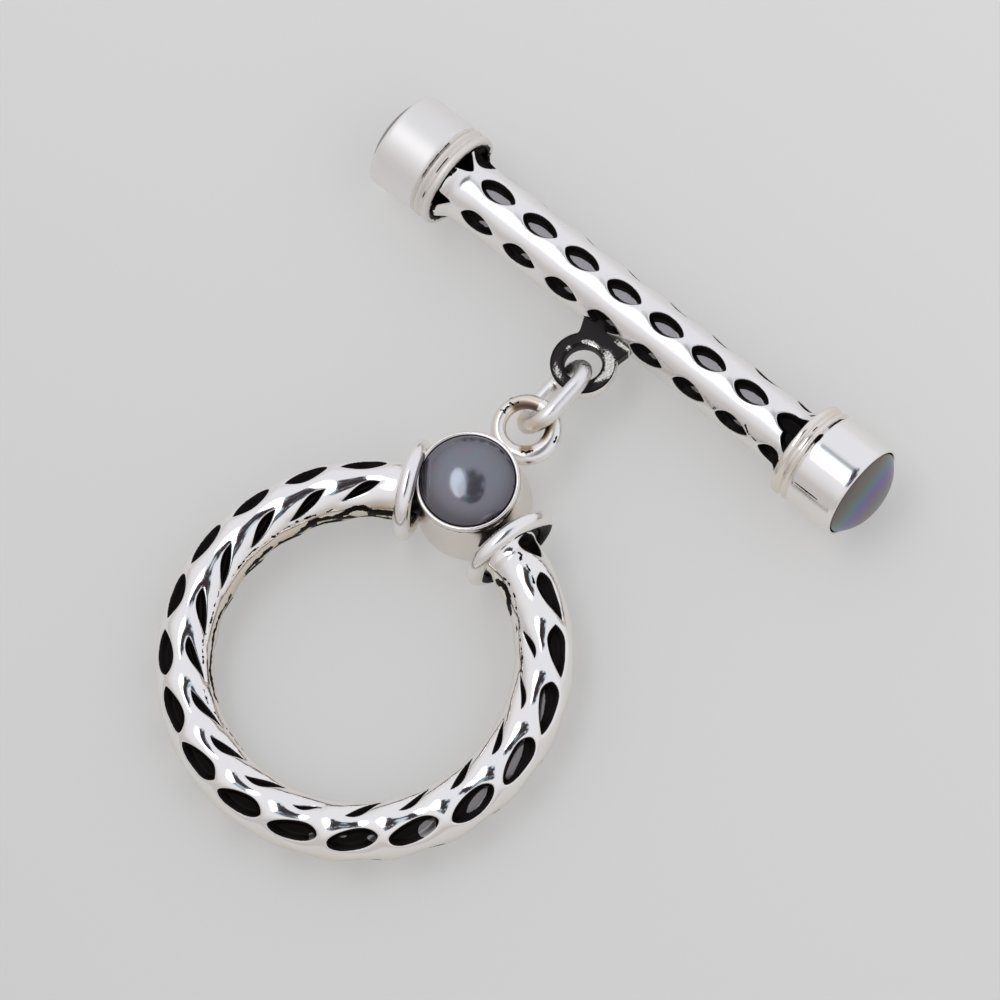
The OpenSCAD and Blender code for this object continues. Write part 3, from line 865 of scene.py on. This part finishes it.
def flat_eye():
    """The eye is cut from flat strip with a web that flares to the tube. Its flat faces kept their
    black and its outer edge is polished."""
    steps = 220
    turn = np.linspace(0, 2 * pi, steps, endpoint=False)
    # the web's half width on each side at heights above the hole's middle
    web_y = [0, 1.1, 1.45, 1.75, 2.1, 2.3]
    left_x = [1.3, 1.3, 1.38, 1.54, 1.72, 1.78]
    right_x = [1.25, 1.25, 1.34, 1.39, 1.46, 1.5]
    outer = []
    for t in turn:
        reach = EYE_R
        for r in np.linspace(EYE_R, 3.2, 120):
            x, y = r * cos(t), r * sin(t)
            if 1.05 < y < 2.9 and abs(x) < np.interp(y, web_y, right_x if x > 0 else left_x):
                reach = r
        outer.append(reach)
    outer = np.convolve(np.r_[outer[-2:], outer, outer[:2]], np.ones(5) / 5, "valid")
    # a section of the strip: the share of the way from the hole to the outer edge, a step, a height
    corner = 0.13
    edge = EYE_HALF - corner
    at_hole = arc((corner, -edge), corner, -90, -180, 7) + arc((corner, edge), corner, 180, 90, 7)
    at_edge = arc((-corner, edge), corner, 90, 0, 7) + arc((-corner, -edge), corner, 0, -90, 7)
    shares = np.linspace(0.12, 0.88, 13)
    rows = [(0, *p) for p in at_hole] + [(share, 0, EYE_HALF) for share in shares]
    rows += [(1, *p) for p in at_edge] + [(share, 0, -EYE_HALF) for share in shares[::-1]]
    share, step, high = np.array(rows).T
    reach = EYE_HOLE_R + (outer[:, None] - EYE_HOLE_R) * share + step
    x, y = reach * np.cos(turn)[:, None], reach * np.sin(turn)[:, None]
    points = np.stack([x, y, high + 0 * reach], -1)
    # flecks: place in degrees from +X, distance from the hole's middle, half sizes, strength
    flecks = (
        (52, 1.34, 36, 0.36, 0.45), (22, 1.5, 30, 0.32, 0.43), (126, 1.2, 20, 0.2, 0.45),
        (100, 1.15, 18, 0.18, 0.44), (172, 1.15, 16, 0.17, 0.45), (240, 1.42, 42, 0.3, 0.44),
        (-8, 1.25, 20, 0.18, 0.44),
    )
    rub = np.full(reach.shape, 0.12)
    for at, far, wide, deep, much in flecks:
        off = (np.degrees(turn) - at + 180) % 360 - 180
        rub += much * hump(off, 0, wide)[:, None] * hump(reach, far, deep)
    # solder ran over the right foot of the web
    rub = np.maximum(rub, 0.75 * hump(y - 0.08 * x, 1.95, 0.2) * np.clip(x / 1.2 + 0.2, 0, 1))
    outer_edge = (share == 1) & (high < EYE_HALF - 0.03)
    rub = np.where(outer_edge & (y < 1.2), 0.9, rub)
    m = bar_frame @ shifted(0, -EYE_REACH, 0)
    piece("flat_eye", moved(m, points), grid_faces(steps, len(rows)), patina, "silver", "toggle_bar",
          rubbed=rub)


def jump_ring():
    steps, around = 160, 36
    half = LINK_STRAIGHT / 2
    path = arc((0, half), LINK_END_R, 0, 180, 60) + arc((0, -half), LINK_END_R, 180, 360, 60)
    # evenly spaced places along the oval
    loop = np.array(path + path[:1])
    run = np.r_[0, np.cumsum(np.hypot(*np.diff(loop, axis=0).T))]
    s = np.linspace(0, run[-1], steps, endpoint=False)
    mid = np.stack([np.interp(s, run, loop[:, 0]), np.interp(s, run, loop[:, 1])], 1)
    ahead = np.roll(mid, -1, 0) - np.roll(mid, 1, 0)
    ahead /= np.linalg.norm(ahead, axis=1)[:, None]
    out = np.stack([ahead[:, 1], -ahead[:, 0]], 1)
    turn = np.linspace(0, 2 * pi, around, endpoint=False)[None, :]
    xy = mid[:, None, :] + LINK_WIRE_R * np.cos(turn)[..., None] * out[:, None, :]
    z = LINK_WIRE_R * np.sin(turn) + 0 * xy[..., 0]
    points = np.concatenate([xy, z[..., None]], -1)
    # crumbs of black where it rubs in the eye, and a little brown where it lies in the loop
    end = half + LINK_END_R
    black = 0.42 * hump(points[..., 1], end, 0.42)
    brown = 0.2 * hump(points[..., 1], -end, 0.5)
    m = np.array(Matrix.Translation(LINK_MID) @ Matrix.Rotation(LINK_LEAN - pi / 2, 4, "Y"))
    piece("oval_jump_ring", moved(m, points), grid_faces(steps, around), silver, "silver", "jump_ring",
          satin=0.65, crevice=black, tarnish=brown)


ring_tube()
ring_collars()
ring_necks()
pearl_cup()
half_pearl("ring_half_pearl", ring_frame @ shifted(CUP_REACH, CUP_STEP, CUP_LIP_H), PEARL_DOME, nacre,
           "pearl_grey", "ring_pearl")
wire_loop()
bar_tube()
end_cap("near_cap", 1)
end_cap("far_cap", -1)
half_pearl("near_half_pearl", rim_frame(1), PEARL_DOME, dark_nacre, "pearl_dark", "bar_pearl_near")
half_pearl("far_half_pearl", rim_frame(-1), FAR_PEARL_DOME, dark_nacre, "pearl_dark", "bar_pearl_far")
flat_eye()
jump_ring()


# The studio, in metres

def camera():
    """It looks down at the clasp as in the photograph."""
    data = bpy.data.cameras.new("camera")
    data.lens, data.sensor_width = 348.8, 36
    data.clip_start, data.clip_end = 0.01, 20
    made = bpy.data.objects.new("camera", data)
    made.matrix_world = Matrix(frame_of(CAMERA_RIGHT, CAMERA_UP, CAMERA_BACK, CAMERA_EYE).tolist())
    bpy.context.scene.collection.objects.link(made)
    bpy.context.scene.camera = made


def paper():
    half = 2
    corners = [(-half, -half, 0), (half, -half, 0), (half, half, 0), (-half, half, 0)]
    sheet = bpy.data.meshes.new("paper_sweep")
    sheet.from_pydata(corners, [], [(0, 1, 2, 3)])
    sheet.materials.append(pale_paper())
    floor = bpy.data.objects.new("paper_sweep", sheet)
    bpy.context.scene.collection.objects.link(floor)


def light_tent():
    """Bright all round, with a dark opening overhead where the camera looks in."""
    world = bpy.data.worlds.new("light_tent")
    world.use_nodes = True
    tree = world.node_tree
    tree.nodes.clear()
    way = (add(tree, "TexCoord"), "Generated")
    # the opening is an oval: its middle, then its two directions with half its size and a shift in each
    middle = (0.103, -0.02, 0.994)
    sides = (((0.7536, 0.6541, -0.065), 0.35, 0.06), ((-0.649, 0.757, 0.08), 0.46, 0))
    ahead = add(tree, "VectorMath", {0: way, 1: middle}, operation="DOT_PRODUCT")
    squares = []
    for direction, half, shift in sides:
        along = add(tree, "VectorMath", {0: way, 1: direction}, operation="DOT_PRODUCT")
        share = add(tree, "Math", {0: (along, "Value"), 1: 1 / half, 2: shift}, operation="MULTIPLY_ADD")
        squares.append(add(tree, "Math", {0: (share, "Value"), 1: 2}, operation="POWER"))
    away = add(tree, "Math", {k: (square, "Value") for k, square in enumerate(squares)}, operation="ADD")
    inside = add(tree, "MapRange", {"Value": (away, "Value"), "From Min": 1.1, "From Max": 0.85})
    front = add(tree, "Math", {0: (ahead, "Value"), 1: 0.5}, operation="GREATER_THAN")
    opening = add(tree, "Math", {0: (inside, "Result"), 1: (front, "Value")}, operation="MULTIPLY")
    # what shows in the opening is dark, with paler things towards its edge
    things = add(tree, "TexNoise", {"Vector": way, "Scale": 7, "Detail": 1})
    at_edge = add(tree, "Math", {0: (away, "Value"), 1: 0.14, 2: (things, "Fac")}, operation="MULTIPLY_ADD")
    dim = add(tree, "ValToRGB", {"Fac": (at_edge, "Value")}, stops=(
        (0.45, "#382A2A"), (0.62, "#434146"), (0.7, "#8FA3B1"), (0.76, "#C4D2DA")))
    # the tent is brightest overhead and dimmer in front
    height = add(tree, "VectorMath", {0: way, 1: (0, 0.34, 0.94)}, operation="DOT_PRODUCT")
    tent = add(tree, "ValToRGB", {"Fac": (height, "Value")}, stops=(
        (0.0, "#C2BEBC"), (0.3, "#DCDADA"), (0.55, "#E6E6E9"), (1.0, "#E6E8ED")))
    colour = add(tree, "Mix", {
        "Factor": (opening, "Value"), COLOUR_A: (tent, "Color"), COLOUR_B: (dim, "Color")}, data_type="RGBA")
    sky = add(tree, "Background", {"Color": (colour, COLOUR), "Strength": 1.0})
    add(tree, "OutputWorld", {"Surface": (sky, "Background")})
    bpy.context.scene.world = world


def soft_box():
    """An oval soft box, up and to the left."""
    box = bpy.data.lights.new("soft_box", "AREA")
    box.shape, box.size, box.size_y, box.energy = "ELLIPSE", 0.22, 0.46, 0.5
    way, far = np.array([-0.252, -0.135, 0.958]), 0.6
    side = CAMERA_RIGHT - way * np.dot(CAMERA_RIGHT, way)
    side /= np.linalg.norm(side)
    lamp = bpy.data.objects.new("soft_box", box)
    lamp.matrix_world = Matrix(frame_of(side, np.cross(way, side), way, way * far).tolist())
    bpy.context.scene.collection.objects.link(lamp)


bpy.context.scene.view_settings.view_transform = "Standard"
camera()
paper()
light_tent()
soft_box()
